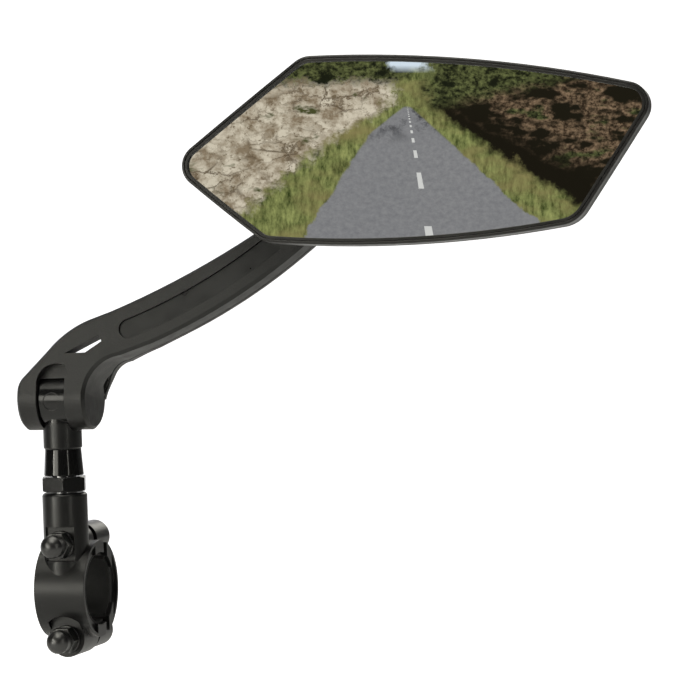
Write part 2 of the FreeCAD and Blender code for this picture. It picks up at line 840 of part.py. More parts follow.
def arm_window():
    """The four-sided slot that goes right through the arm above the barrel."""
    corners = [(4.5, 13.3), (16.4, 19.2), (17.2, 17.1), (11.7, 13.5)]
    points = [Vector(x, -20, z) for x, z in corners]
    face = Part.Face(Part.makePolygon(points + points[:1]))
    return face.extrude(Vector(0, 40, 0))


def window_thinning():
    """A wider pocket behind the slot that leaves a thin face plate round it."""
    corners = [(1.6, 13.6), (6.2, 18.2), (13.4, 22.4), (17.2, 21.6), (19.4, 16.6), (12.0, 11.6), (5.0, 11.4)]
    start = -size("barrel_radius") + size("window_plate")
    points = [Vector(x, start, z) for x, z in corners]
    return Part.Face(Part.makePolygon(points + points[:1])).extrude(Vector(0, 40, 0))


def side_notch():
    """The drop-shaped hollow in the right-hand side wall, between the barrel and the cover."""
    corners = [(7.4, 2.4), (4.4, 4.6), (3.8, 6.8), (4.4, 8.7), (8.1, 5.9), (8.1, 3.2)]
    points = [Vector(8.4, y, z) for y, z in corners]
    return Part.Face(Part.makePolygon(points + points[:1])).extrude(Vector(10, 0, 0))


def inlay_prism(half_width, depth):
    """A round-ended strip that follows the arm's bend."""
    first = on_bend(BEND, BEND_RADIUS, 26.3)
    last = on_bend(BEND, BEND_RADIUS, 74.5)
    middle = on_bend(BEND, BEND_RADIUS, 51.0)

    def beside(point, offset):
        outward = (point - BEND).normalize()
        return point + outward * offset

    def cap(point, direction):
        outward = (point - BEND).normalize()
        along = Vector(-outward.z, 0, outward.x) * direction
        return point + along * half_width

    edges = [
        arc(beside(first, half_width), beside(middle, half_width), beside(last, half_width)),
        arc(beside(last, half_width), cap(last, 1), beside(last, -half_width)),
        arc(beside(last, -half_width), beside(middle, -half_width), beside(first, -half_width)),
        arc(beside(first, -half_width), cap(first, -1), beside(first, half_width)),
    ]
    return Part.Face(Part.Wire(edges)).extrude(Vector(0, depth, 0))


def screw_places():
    along = [on_bend(BEND, BEND_RADIUS, x) for x in (31.0, 54.0, 78.0)]
    return [Vector(9.2, 0, 20.3)] + along


def arm_fasteners():
    half = size("barrel_half_width")
    slot = size("slot_half_width")
    head_height = size("pivot_head_height")
    washer = size("spring_washer")
    recess = 0.4

    bolt = turned(
        "PivotBolt",
        [
            ("0", "0"),
            ("pivot_head_radius - 0.4", "0"),
            ("pivot_head_radius", "0.4"),
            ("pivot_head_radius", "pivot_head_height"),
            ("pivot_radius", "pivot_head_height"),
            ("pivot_radius", "barrel_half_width + slot_half_width + insert_length - 1.2"),
            ("0", "barrel_half_width + slot_half_width + insert_length - 1.2"),
        ],
    )
    key = hexagon("PivotKey", "2.9", "2.4", ("0", "0", "0"))
    start = Placement(Vector(-half + recess, 0, 0), AXES["X"])
    node("pivot_bolt", cut("PivotBoltCut", bolt, [key]), ARM.multiply(start))

    spring = turned(
        "SpringWasher",
        [
            ("pivot_radius", "0"),
            ("pivot_head_radius - 0.3", "0"),
            ("pivot_head_radius", "0.3"),
            ("pivot_head_radius", "spring_washer"),
            ("pivot_radius", "spring_washer"),
        ],
    )
    under_head = Placement(Vector(-half + recess + head_height, 0, 0), AXES["X"])
    node("pivot_spring_washer", spring, ARM.multiply(under_head))

    insert = turned(
        "PivotInsert",
        [
            ("pivot_radius", "0"),
            ("insert_radius", "0"),
            ("insert_radius", "insert_length"),
            ("pivot_radius", "insert_length"),
        ],
    )
    node("pivot_insert", insert, ARM.multiply(Placement(Vector(slot, 0, 0), AXES["X"])))

    ball = sphere("Ball", "ball_radius")
    neck = cylinder("BallNeck", "ball_neck", "ball_reach + 6.4")
    flange_base = ("0", "0", "ball_reach - ball_flange")
    flange = cylinder("BallFlange", "ball_flange_radius", "ball_flange", flange_base)
    stud = fuse("BallStud", [ball, neck, flange])
    node("ball_stud", stud, ARM.multiply(Placement(ball_in_arm, AXES["Y"])))

    face = -size("barrel_radius") + size("stud_wall")
    seat = Vector(size("end_across"), face, size("end_up"))
    plain = turned(
        "StudWasher",
        [("ball_neck", "0"), ("6", "0"), ("6", "washer_thickness"), ("ball_neck", "washer_thickness")],
    )
    node("stud_washer", plain, ARM.multiply(Placement(seat, AXES["Y"])))
    blank = hex_blank("StudNutHex", "9.9", "3.1")
    nut = cut("StudNut", blank, [cylinder("StudNutBore", "ball_neck", "10", ("0", "0", "-2"))])
    above = seat + Vector(0, size("washer_thickness"), 0)
    node("stud_nut", nut, ARM.multiply(Placement(above, AXES["Y"])))


# ------------------------------------------------------------------ ball joint and head
# The head is drawn in its own frame: origin at the ball's centre, x to the right across the
# glass, y backwards and z up. The rim's front face is the plane y = -rim_front.

CORNERS = [(-51.8, -0.5), (-8.3, 32.8), (106.1, 18.1), (79.1, -22.6), (-21.1, -25.7)]
CORNER_RADII = [7.1, 8.5, 7.0, 10.2, 7.8]
BULGES = [0.2, 4.0, 0.1, 3.3, 0.3]
DOME_CENTRE = Vector(15.0, 0, 0)


def side_circles():
    """Centre and radius of the large circle that each bowed side lies on."""
    points = [Vector(x, 0, z) for x, z in CORNERS]
    circles = []
    for start, end, bulge in zip(points, points[1:] + points[:1], BULGES):
        half_chord = (end - start).Length / 2
        along = (end - start).normalize()
        outward = Vector(-along.z, 0, along.x)
        radius = (half_chord**2 + bulge**2) / (2 * bulge)
        circles.append(((start + end) / 2 + outward * (bulge - radius), radius, outward))
    return circles


def crossing(first, first_radius, second, second_radius, near):
    """The point where two circles cross, on the side nearest to a given point."""
    gap = (second - first).Length
    along = (second - first).normalize()
    reach = (gap**2 + first_radius**2 - second_radius**2) / (2 * gap)
    height = math.sqrt(first_radius**2 - reach**2)
    foot = first + along * reach
    across_line = Vector(-along.z, 0, along.x) * height
    return min((foot + across_line, foot - across_line), key=lambda point: (point - near).Length)


def outline(inset):
    """The head's five-sided outline, inset all round: bowed sides and rounded corners."""
    circles = side_circles()
    rounds = []
    for index, (x, z) in enumerate(CORNERS):
        corner_radius = max(CORNER_RADII[index] - inset, 0.4)
        before, before_radius, _ = circles[index - 1]
        after, after_radius, _ = circles[index]
        step = inset + corner_radius
        centre = crossing(before, before_radius - step, after, after_radius - step, Vector(x, 0, z))
        leave = centre + (centre - before).normalize() * corner_radius
        enter = centre + (centre - after).normalize() * corner_radius
        out = (leave + enter - centre * 2).normalize()
        rounds.append((leave, centre + out * corner_radius, enter))
    edges = []
    for index, (centre, radius, outward) in enumerate(circles):
        start = rounds[index]
        end = rounds[(index + 1) % len(rounds)]
        edges.append(arc(*start))
        edges.append(arc(start[2], centre + outward * (radius - inset), end[0]))
    return Part.Wire(edges)


def plate(inset, near, far):
    """A flat plate of the head's outline, inset all round, from y = near to y = far."""
    solid = Part.Face(outline(inset)).extrude(Vector(0, far - near, 0))
    solid.translate(Vector(0, near, 0))
    return solid


def domed(sections):
    """A smooth loft through scaled copies of the outline; sections are (y, scale)."""
    wires = []
    for y, scale in sections:
        wire = outline(0)
        wire.scale(scale, DOME_CENTRE)
        wire.translate(Vector(0, y, 0))
        wires.append(wire)
    return Part.makeLoft(wires, True, False)


def head_shell():
    rim = -size("bezel_rear")
    straight = -size("housing_straight")
    wall = size("housing_wall")
    sections = [(straight, 1.0), (-4.6, 0.972), (-2.8, 0.9), (-1.4, 0.79), (-0.5, 0.66), (0.0, 0.5)]
    outside = plate(0, rim, straight).fuse(domed(sections))
    inner_sections = [(y - wall, scale * 0.965) for y, scale in sections]
    inside = plate(wall, rim, straight - wall).fuse(domed(inner_sections))
    shell = outside.cut(inside)

    backwards = Vector(0, 1, 0)
    boss = Part.makeCone(size("boss_radius"), 7.6, size("boss_rear") + 1.8, Vector(0, -1.8, 0), backwards)
    pillars = []
    for spot in plate_screw_spots():
        start = Vector(spot.x, -size("retainer_radius") - 0.2, spot.z)
        pillar = Part.makeCylinder(2.4, 8.0, start, backwards)
        pillars.append(pillar.common(outside))
    for spot in retainer_screw_spots():
        start = Vector(spot.x, -size("retainer_rear"), spot.z)
        pillars.append(Part.makeCylinder(2.4, 4.0, start, backwards))
    shell = shell.fuse([boss] + pillars)
    pocket = Part.makeSphere(size("seat_pocket"))
    cup_room = Part.makeCylinder(size("retainer_radius") + 0.3, 10, Vector(0, -10.4, 0), backwards)
    shell = shell.cut(pocket).cut(cup_room)
    for screw in plate_screws() + retainer_screws():
        shell = shell.cut(screw)
    solid_node("rear_housing", shell.removeSplitter(), HEAD)


def head_front():
    front = -size("rim_front")
    lip = front + size("lip_thickness")
    rim = -size("bezel_rear")
    bezel = plate(0, front, rim)
    bezel = soften(bezel, front, 0.55)
    bezel = bezel.cut(plate(size("lip_width"), front - 1, rim + 1))
    bezel = bezel.cut(plate(size("glass_inset"), lip, rim + 1))
    groove = plate(0.85, front - 1, front + 0.45).cut(plate(1.15, front - 2, front + 1))
    bezel = bezel.cut(groove)
    solid_node("bezel", bezel.removeSplitter(), HEAD)

    glass_back = lip + size("glass_thickness")
    solid_node("mirror_glass", plate(size("glass_inset") + 0.05, lip, glass_back), HEAD)
    pad_back = glass_back + size("pad_thickness")
    solid_node("adhesive_pad", plate(size("pad_inset"), glass_back, pad_back), HEAD)
    plate_back = pad_back + size("plate_thickness")
    back_plate = plate(size("plate_inset"), pad_back, plate_back)
    for screw in plate_screws():
        back_plate = back_plate.cut(screw)
    solid_node("back_plate", back_plate, HEAD)
    solid_node("plate_screws", Part.makeCompound(plate_screws()), HEAD)
    solid_node("retainer_screws", Part.makeCompound(retainer_screws()), HEAD)


def soften(shape, plane_y, radius):
    """Round the edges that lie in one plane across the head."""
    edges = [edge for edge in shape.Edges if all(abs(v.Y - plane_y) < 1e-4 for v in edge.Vertexes)]
    return shape.makeFillet(radius, edges)


def plate_screw_spots():
    return [Vector(-27.0, 0, 0.0), Vector(14.0, 0, 19.0), Vector(72.0, 0, 8.0), Vector(42.0, 0, -15.0)]


def retainer_screw_spots():
    circle = size("retainer_screw_circle")
    angles = [math.radians(a) for a in (90, 210, 330)]
    return [Vector(circle * math.cos(a), 0, circle * math.sin(a)) for a in angles]


def small_screw(seat, head_radius, head_height, length):
    """A self-tapping screw that points backwards, its head in front of the seat point."""
    backwards = Vector(0, 1, 0)
    shank = Part.makeCylinder(1.1, length, seat, backwards)
    head = Part.makeCylinder(head_radius, head_height, seat, -backwards)
    return shank.fuse(head)


def plate_screws():
    front = -size("retainer_radius") - 0.2 - size("plate_thickness") + 0.9
    return [small_screw(Vector(spot.x, front, spot.z), 2.0, 0.9, 5.0) for spot in plate_screw_spots()]


def retainer_screws():
    front = -size("retainer_front")
    return [small_screw(Vector(spot.x, front, spot.z), 2.0, 1.5, 4.6) for spot in retainer_screw_spots()]


def ball_joint():
    shells = (
        ("ball_seat_rear", "seat_gap", "seat_rear - seat_gap"),
        ("ball_seat_front", "-seat_outer - 1", "seat_outer + 1 - seat_gap"),
    )
    for label, low, width in shells:
        outer = sphere(label + "_outer", "seat_outer")
        inner = sphere(label + "_inner", "seat_inner")
        shell = cut(label + "_shell", outer, [inner])
        slab = box(label + "_slab", "40", width, "40", ("-20", low, "-20"))
        node(label, common(label + "_zone", [shell, slab]), HEAD)

    retainer_slab = box("RetainerSlab", "40", "19.4", "40", ("-20", "-20", "-20"))
    cup = common("RetainerCup", [sphere("RetainerBall", "retainer_radius"), retainer_slab])
    flange = cylinder(
        "RetainerFlange",
        "retainer_flange_radius",
        "retainer_front - retainer_rear",
        ("0", "-retainer_front", "0"),
        "Y",
    )
    tools = [sphere("RetainerHollow", "seat_pocket")]
    for index, spot in enumerate(retainer_screw_spots()):
        hole = cylinder(f"RetainerHole{index}", "1.1", "10", ("0", "0", "0"), "Y")
        put(hole, (str(spot.x), "-retainer_front - 2", str(spot.z)), "Y")
        tools.append(hole)
    node("socket_retainer", cut("SocketRetainer", fuse("RetainerBlank", [cup, flange]), tools), HEAD)


clamp_halves()
bar_liners()
clamp_fasteners()
stem()
arm_solids()
arm_fasteners()
head_shell()
head_front()
ball_joint()
doc.recompute()


def check():
    for item in doc.Objects:
        if {"Invalid", "Error"} & set(item.State):
            raise RuntimeError(f"{item.Name} did not recompute: {item.State}")
    for label, item in nodes.items():
        shape = item.Shape
        if shape.isNull() or not shape.isValid() or not shape.Solids:
            raise RuntimeError(f"{label} is not a valid solid")
        print(f"{label:22s} solids {len(shape.Solids)}  volume {shape.Volume:10.2f}")


check()
os.makedirs("parts", exist_ok=True)
for label, item in nodes.items():
    item.Shape.exportStep(f"parts/{label}.step")
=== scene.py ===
"""Bicycle handlebar mirror: the looks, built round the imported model. Metres, row frame."""
import math

import bpy
from mathutils import Matrix, Vector

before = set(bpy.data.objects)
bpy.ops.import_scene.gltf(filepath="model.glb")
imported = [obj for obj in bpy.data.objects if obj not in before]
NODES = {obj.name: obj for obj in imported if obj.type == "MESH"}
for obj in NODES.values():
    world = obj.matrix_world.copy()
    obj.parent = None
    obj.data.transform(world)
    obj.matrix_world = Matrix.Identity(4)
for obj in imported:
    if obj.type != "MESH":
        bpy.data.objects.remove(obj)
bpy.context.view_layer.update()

MM = 0.001
scene = bpy.context.scene

# Sockets of a Mix node set to RGBA, which share their names with its other sockets.
FACTOR, COLOUR_A, COLOUR_B = 0, 6, 7
MIXED_COLOUR = 2

EDGE = 0.25 * MM  # radius of the rounded look and of the rubbed band on every edge
EDGE_SAMPLES = 6
OPEN_SURFACE, FULL_EDGE = 0.985, 0.75  # how closely the rounded normal follows the true one
WEAR_AMOUNT = 0.5
GRAIN_DEPTH = 0.1 * MM
CLOUD_SCALE, PATCH_SCALE, SMUDGE_SCALE = 55.0, 420.0, 180.0  # noise scales of surface()

# The photograph's camera: a long lens, 700 pixels across the frame.
CAMERA_PLACE = Vector((435.75, -1110.98, 126.0)) * MM
CAMERA_YAW, CAMERA_RISE, CAMERA_ROLL = 16.94, 2.41, -1.886  # degrees
FOCAL_PIXELS, FRAME_PIXELS, SENSOR_MM = 3604.8, 700.0, 36.0

SEEN_WHITE = 1.10  # strength of floor and surroundings as the camera sees them
LAMP_COLOUR = (1.0, 0.98, 0.88)
WORLD_STRENGTH = 0.03


# ------------------------------------------------------------------ node helpers
class Graph:
    """Short words for building a material's nodes."""

    def __init__(self, name):
        self.material = bpy.data.materials.new(name)
        self.material.use_nodes = True
        self.tree = self.material.node_tree
        self.tree.nodes.clear()
        self.output = self.add("ShaderNodeOutputMaterial")
        self.shader = self.add("ShaderNodeBsdfPrincipled")
        self.link(self.shader, "BSDF", self.output, "Surface")
        self.coordinates = None

    def add(self, kind, **values):
        node = self.tree.nodes.new(kind)
        for key, value in values.items():
            setattr(node, key, value)
        return node

    def link(self, source, out, target, into):
        self.tree.links.new(source.outputs[out], target.inputs[into])

    def position(self):
        """The texture coordinate node, made once."""
        if self.coordinates is None:
            self.coordinates = self.add("ShaderNodeTexCoord")
        return self.coordinates

    def axes(self):
        """Node whose X, Y and Z outputs are the place on the object."""
        node = self.add("ShaderNodeSeparateXYZ")
        self.link(self.position(), "Object", node, "Vector")
        return node

    def noise(self, scale, detail=3.0, roughness=0.55):
        node = self.add("ShaderNodeTexNoise")
        node.inputs["Scale"].default_value = scale
        node.inputs["Detail"].default_value = detail
        node.inputs["Roughness"].default_value = roughness
        self.link(self.position(), "Object", node, "Vector")
        return node

    def remap(self, source, out, low, high, to_low, to_high):
        node = self.add("ShaderNodeMapRange")
        for key, value in (("From Min", low), ("From Max", high), ("To Min", to_low), ("To Max", to_high)):
            node.inputs[key].default_value = value
        self.link(source, out, node, "Value")
        return node

    def product(self, first, first_out, second, second_out):
        node = self.add("ShaderNodeMath", operation="MULTIPLY")
        self.link(first, first_out, node, 0)
        self.link(second, second_out, node, 1)
        return node

    def tones(self, noise, first, second):
        """A colour between two, as a noise wanders through its middle band."""
        node = self.add("ShaderNodeMix", data_type="RGBA")
        node.inputs[COLOUR_A].default_value = (*first, 1.0)
        node.inputs[COLOUR_B].default_value = (*second, 1.0)
        self.link(self.remap(noise, "Fac", 0.3, 0.7, 0.0, 1.0), "Result", node, FACTOR)
        return node

    def rounded(self):
        node = self.add("ShaderNodeBevel", samples=EDGE_SAMPLES)
        node.inputs["Radius"].default_value = EDGE
        return node

    def edges(self):
        """1 on a worn edge, 0 on open surface: how far a rounded normal leans from the true one."""
        geometry = self.add("ShaderNodeNewGeometry")
        dot = self.add("ShaderNodeVectorMath", operation="DOT_PRODUCT")
        self.link(self.rounded(), "Normal", dot, 0)
        self.link(geometry, "Normal", dot, 1)
        return self.remap(dot, "Value", OPEN_SURFACE, FULL_EDGE, 0.0, 1.0)


def surface(
    name,
    colour,
    rough,
    metallic=0.0,
    grain=(2600.0, 0.06),
    cloud=0.25,
    rough_spread=0.08,
    wear=(0.12, 0.12, 0.12),
    specular=0.5,
    polish=None,
):
    """Moulded or coated surface: fine grain, cloudy tone, uneven gloss and rubbed edges.

    grain = (noise scale, bump strength). cloud is how far the tone strays from colour.
    polish = (low, high, roughness): from height low to high the surface turns glossier.
    """
    graph = Graph(name)
    shader = graph.shader
    shader.inputs["Metallic"].default_value = metallic
    shader.inputs["Specular IOR Level"].default_value = specular

    darker = tuple(c * (1.0 - cloud) for c in colour)
    lighter = tuple(c * (1.0 + cloud) for c in colour)
    tone = graph.tones(graph.noise(CLOUD_SCALE, 4.0), darker, lighter)

    patches = graph.remap(graph.noise(PATCH_SCALE), "Fac", 0.35, 0.65, 0.15, 1.0)
    amount = graph.product(graph.edges(), "Result", patches, "Result")
    scaled = graph.add("ShaderNodeMath", operation="MULTIPLY")
    graph.link(amount, "Value", scaled, 0)
    scaled.inputs[1].default_value = WEAR_AMOUNT
    worn_tone = graph.add("ShaderNodeMix", data_type="RGBA")
    worn_tone.inputs[COLOUR_B].default_value = (*wear, 1.0)
    graph.link(scaled, "Value", worn_tone, FACTOR)
    graph.link(tone, MIXED_COLOUR, worn_tone, COLOUR_A)
    graph.link(worn_tone, MIXED_COLOUR, shader, "Base Color")

    smudge = graph.noise(SMUDGE_SCALE, 5.0, 0.6)
    gloss = graph.remap(smudge, "Fac", 0.3, 0.7, max(rough - rough_spread, 0.02), rough + rough_spread)
    if polish:
        low, high, polished = polish
        rise = graph.remap(graph.axes(), "Z", low, high, 1.0, polished / rough)
        graph.link(graph.product(gloss, "Result", rise, "Result"), "Value", shader, "Roughness")
    else:
        graph.link(gloss, "Result", shader, "Roughness")

    scale, strength = grain
    bump = graph.add("ShaderNodeBump")
    bump.inputs["Strength"].default_value = strength
    bump.inputs["Distance"].default_value = GRAIN_DEPTH
    graph.link(graph.noise(scale, 2.0, 0.6), "Fac", bump, "Height")
    graph.link(graph.rounded(), "Normal", bump, "Normal")
    graph.link(bump, "Normal", shader, "Normal")
    return graph.material


# ------------------------------------------------------------------ materials
CLAMP = surface(
    "clamp_black",
    (0.0042, 0.0042, 0.0043),
    0.33,
    grain=(3000.0, 0.06),
    wear=(0.05, 0.05, 0.05),
    rough_spread=0.03,
)
STEM = surface("stem_black", (0.005, 0.005, 0.0052), 0.13, grain=(700.0, 0.006), rough_spread=0.02)
KNUCKLE = surface(  # matt neck below, glossy knuckle above
    "knuckle_black", (0.0042, 0.0042, 0.0044), 0.34, grain=(2600.0, 0.05), polish=(0.0545, 0.0565, 0.17)
)
FASTENER = surface(
    "fastener_black",
    (0.0060, 0.0060, 0.0061),
    0.33,
    grain=(2400.0, 0.03),
    wear=(0.03, 0.03, 0.03),
    rough_spread=0.03,
    specular=0.95,
)
STEEL = surface("steel", (0.52, 0.52, 0.53), 0.28, metallic=1.0, grain=(3000.0, 0.04), wear=(0.7, 0.7, 0.7))
BRASS = surface("insert_brass", (0.70, 0.52, 0.22), 0.32, metallic=1.0, wear=(0.8, 0.65, 0.35))
RUBBER = surface("liner_rubber", (0.010, 0.010, 0.010), 0.72, grain=(1800.0, 0.2), specular=0.3)
ARM = surface(
    "arm_plastic", (0.0085, 0.0085, 0.0083), 0.42, grain=(1500.0, 0.55), wear=(0.05, 0.05, 0.05), cloud=0.2
)
INLAY = surface("inlay_plastic", (0.0085, 0.0085, 0.0085), 0.33)
RIM = surface("rim_plastic", (0.0135, 0.0128, 0.0118), 0.34, grain=(2400.0, 0.06), wear=(0.06, 0.057, 0.052))
HOUSING = surface("housing_plastic", (0.0100, 0.0097, 0.0093), 0.44, grain=(2300.0, 0.28), cloud=0.15)
INNER = surface("inner_plastic", (0.03, 0.03, 0.03), 0.6)
SEAT = surface("seat_plastic", (0.70, 0.69, 0.64), 0.45, wear=(0.8, 0.8, 0.78))
FOAM = surface("pad_foam", (0.05, 0.05, 0.05), 0.9, grain=(900.0, 0.6), specular=0.2)


def silvered_glass():
    """Silver under clear glass, with a faint film and dust."""
    graph = Graph("mirror_silver")
    shader = graph.shader
    shader.inputs["Metallic"].default_value = 1.0
    shader.inputs["Coat Weight"].default_value = 0.6
    shader.inputs["Coat Roughness"].default_value = 0.01
    tone = graph.tones(graph.noise(40.0), (0.86, 0.875, 0.875), (0.9, 0.91, 0.905))
    graph.link(tone, MIXED_COLOUR, shader, "Base Color")
    dust = graph.noise(900.0, 4.0, 0.7)
    graph.link(graph.remap(dust, "Fac", 0.55, 0.8, 0.0, 0.03), "Result", shader, "Roughness")
    return graph.material


SILVER = silvered_glass()

FINISH = {
    CLAMP: ["clamp_front", "clamp_rear"],
    STEM: ["lock_nut", "tapered_collar"],
    KNUCKLE: ["swivel_knuckle"],
    FASTENER: [
        "clamp_bolt_upper",
        "clamp_bolt_lower",
        "clamp_washers",
        "acorn_nuts",
        "cover_screws",
        "pivot_bolt",
    ],
    STEEL: [
        "threaded_stud",
        "pivot_spring_washer",
        "ball_stud",
        "stud_washer",
        "stud_nut",
        "plate_screws",
        "retainer_screws",
    ],
    BRASS: ["pivot_insert"],
    RUBBER: ["bar_liner_front", "bar_liner_rear"],
    ARM: ["arm_front", "arm_rear_cover"],
    INLAY: ["arm_inlay"],
    RIM: ["bezel"],
    HOUSING: ["rear_housing"],
    INNER: ["back_plate", "socket_retainer"],
    SEAT: ["friction_washers", "ball_seat_rear", "ball_seat_front"],
    FOAM: ["adhesive_pad"],
    SILVER: ["mirror_glass"],
}
for material, names in FINISH.items():
    for name in names:
        slots = NODES[name].data.materials
        slots.clear()
        slots.append(material)


# ------------------------------------------------------------------ stage
def white_to_camera(tree):
    """Mix node: SEEN_WHITE for the camera's own rays, its input A for every other ray."""
    path = tree.nodes.new("ShaderNodeLightPath")
    strength = tree.nodes.new("ShaderNodeMix")
    strength.inputs["B"].default_value = SEEN_WHITE
    tree.links.new(path.outputs["Is Camera Ray"], strength.inputs["Factor"])
    return strength


def stage_floor():
    """A pale floor that curves up into a pale wall behind the mirror.

    Its glow fades towards the front and the right, so the black parts aren't lit flat.
    """
    height, front, bend_start, bend, wall_top, half_width = -0.150, -4.0, 2.2, 1.2, 4.0, 6.0
    bend_steps = 12
    profile = [(front, height), (bend_start, height)]
    for step in range(1, bend_steps + 1):
        angle = math.radians(90.0 * step / bend_steps)
        profile.append((bend_start + bend * math.sin(angle), height + bend * (1 - math.cos(angle))))
    profile.append((bend_start + bend, wall_top))
    verts = [(x, y, z) for y, z in profile for x in (-half_width, half_width)]
    faces = [(2 * i, 2 * i + 1, 2 * i + 3, 2 * i + 2) for i in range(len(profile) - 1)]
    mesh = bpy.data.meshes.new("floor")
    mesh.from_pydata(verts, [], faces)
    for polygon in mesh.polygons:
        polygon.use_smooth = True
    floor = bpy.data.objects.new("floor", mesh)
    scene.collection.objects.link(floor)

    graph = Graph("floor_paper")
    graph.shader.inputs["Roughness"].default_value = 0.9
    graph.shader.inputs["Specular IOR Level"].default_value = 0.2
    tone = graph.tones(graph.noise(3.0), (0.90, 0.90, 0.90), (0.93, 0.93, 0.93))
    graph.link(tone, MIXED_COLOUR, graph.shader, "Base Color")
    graph.link(tone, MIXED_COLOUR, graph.shader, "Emission Color")
    place = graph.axes()
    behind = graph.remap(place, "Y", 0.10, 0.80, 0.05, 0.75)
    leftward = graph.remap(place, "X", -0.8, 0.4, 1.0, 0.04)
    glow = white_to_camera(graph.tree)
    graph.link(graph.product(behind, "Result", leftward, "Result"), "Value", glow, "A")
    graph.link(glow, "Result", graph.shader, "Emission Strength")
    mesh.materials.append(graph.material)


class Picture(Graph):
    """Arithmetic on sockets, for the card that the glass looks at."""

    def __init__(self, name, uv_map):
        super().__init__(name)
        self.tree.nodes.remove(self.shader)
        self.place = self.add("ShaderNodeUVMap", uv_map=uv_map)

    def calc(self, operation, *values):
        node = self.add("ShaderNodeMath", operation=operation)
        for index, value in enumerate(values):
            if isinstance(value, (int, float)):
                node.inputs[index].default_value = value
            else:
                self.tree.links.new(value, node.inputs[index])
        return node.outputs[0]

    def plus(self, first, second):
        return self.calc("ADD", first, second)

    def minus(self, first, second):
        return self.calc("SUBTRACT", first, second)

    def times(self, first, second):
        return self.calc("MULTIPLY", first, second)

    def ramp(self, value, low, high):
        """From 0 at low to 1 at high, and flat beyond; low may be the larger."""
        node = self.add("ShaderNodeMapRange")
        node.inputs["From Min"].default_value = low
        node.inputs["From Max"].default_value = high
        self.tree.links.new(value, node.inputs["Value"])
        return node.outputs["Result"]

    def blend(self, factor, first, second):
        node = self.add("ShaderNodeMix", data_type="RGBA")
        self.tree.links.new(factor, node.inputs[FACTOR])
        for index, colour in ((COLOUR_A, first), (COLOUR_B, second)):
            if isinstance(colour, tuple):
                node.inputs[index].default_value = (*colour, 1.0)
            else:
                self.tree.links.new(colour, node.inputs[index])
        return node.outputs[MIXED_COLOUR]

    def stretched(self, across, along):
        """Node whose Vector output is the place on the card, stretched."""
        node = self.add("ShaderNodeMapping")
        node.inputs["Scale"].default_value = (across, along, 1.0)
        self.link(self.place, "UV", node, "Vector")
        return node

    def cells(self, scale, wobble, stretch):
        """Distance to the nearest crack between irregular blocks."""
        shifted = self.add("ShaderNodeVectorMath", operation="ADD")
        self.link(self.stretched(*stretch), "Vector", shifted, 0)
        self.tree.links.new(wobble, shifted.inputs[1])
        node = self.add("ShaderNodeTexVoronoi", feature="DISTANCE_TO_EDGE")
        node.inputs["Scale"].default_value = scale
        self.link(shifted, "Vector", node, "Vector")
        return node.outputs["Distance"]

    def speckle(self, scale, detail, roughness=0.6, stretch=(1.0, 1.0)):
        node = self.add("ShaderNodeTexNoise")
        node.inputs["Scale"].default_value = scale
        node.inputs["Detail"].default_value = detail
        node.inputs["Roughness"].default_value = roughness
        self.link(self.stretched(*stretch), "Vector", node, "Vector")
        return node.outputs["Fac"]


